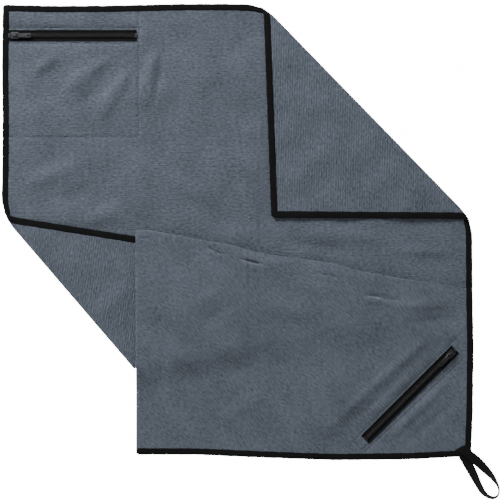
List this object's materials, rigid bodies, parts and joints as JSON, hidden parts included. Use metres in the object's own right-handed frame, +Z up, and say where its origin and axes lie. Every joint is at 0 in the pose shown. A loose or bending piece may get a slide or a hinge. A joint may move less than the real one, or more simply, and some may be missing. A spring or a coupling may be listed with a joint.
{
  "type": "quick dry towel",
  "caption": "Folded microfibre quick dry towel with taped edges, a zipped pocket, a zipped corner pouch and a webbing hanging loop.",
  "frame": {"origin": "middle of the underside of the whole object's box, on the table", "axes": "+Z up from the table, +X along the main zip towards its open end, +Y from the hanging loop's end to the main zip's end"},
  "size_m": [0.5418, 0.5378, 0.0073],
  "materials": {
    "cloth": "matte brushed microfibre",
    "binding": "matte knitted tape",
    "zip_tape": "matte woven tape",
    "zip_coil": "satin nylon",
    "zip_metal": "dark satin enamel",
    "webbing": "matte woven webbing"
  },
  "bodies": {
    "towel": {"binding_bottom": "binding", "binding_flap_end": "binding", "binding_flap_side": "binding", "binding_left": "binding", "binding_right": "binding", "binding_side_flap": "binding", "binding_top": "binding", "corner_pocket_lining": "zip_tape", "corner_zip_end_stop": "zip_metal", "corner_zip_lower_coil": "zip_coil", "corner_zip_lower_tape": "zip_tape", "corner_zip_start_stop": "zip_metal", "corner_zip_upper_coil": "zip_coil", "corner_zip_upper_tape": "zip_tape", "hang_loop": "webbing", "main_pocket_lining": "zip_tape", "main_zip_end_stop": "zip_metal", "main_zip_lower_coil": "zip_coil", "main_zip_lower_tape": "zip_tape", "main_zip_start_stop": "zip_metal", "main_zip_upper_coil": "zip_coil", "main_zip_upper_tape": "zip_tape", "towel_cloth": "cloth"},
    "main_slider": {"main_zip_slider": "zip_metal"},
    "main_pull": {"main_zip_pull": "zip_metal"},
    "corner_slider": {"corner_zip_slider": "zip_metal"},
    "corner_pull": {"corner_zip_pull": "zip_metal"}
  },
  "joints": [
    {"name": "main_zip_slide", "type": "slide", "parent": "towel", "child": "main_slider", "axis": [1, 0, 0], "range_m": [0, 0.124]},
    {"name": "main_pull_swing", "type": "hinge", "parent": "main_slider", "child": "main_pull", "pos_m": [-0.2563, 0.2359, 0.00495], "axis": [0, -1, 0], "range_deg": [0, 165]},
    {"name": "corner_zip_slide", "type": "slide", "parent": "towel", "child": "corner_slider", "axis": [-0.7071, -0.7071, 0], "range_m": [0, 0.123]},
    {"name": "corner_pull_swing", "type": "hinge", "parent": "corner_slider", "child": "corner_pull", "pos_m": [0.21238, -0.10733, 0.00495], "axis": [-0.7071, 0.7071, 0], "range_deg": [0, 165]}
  ]
}
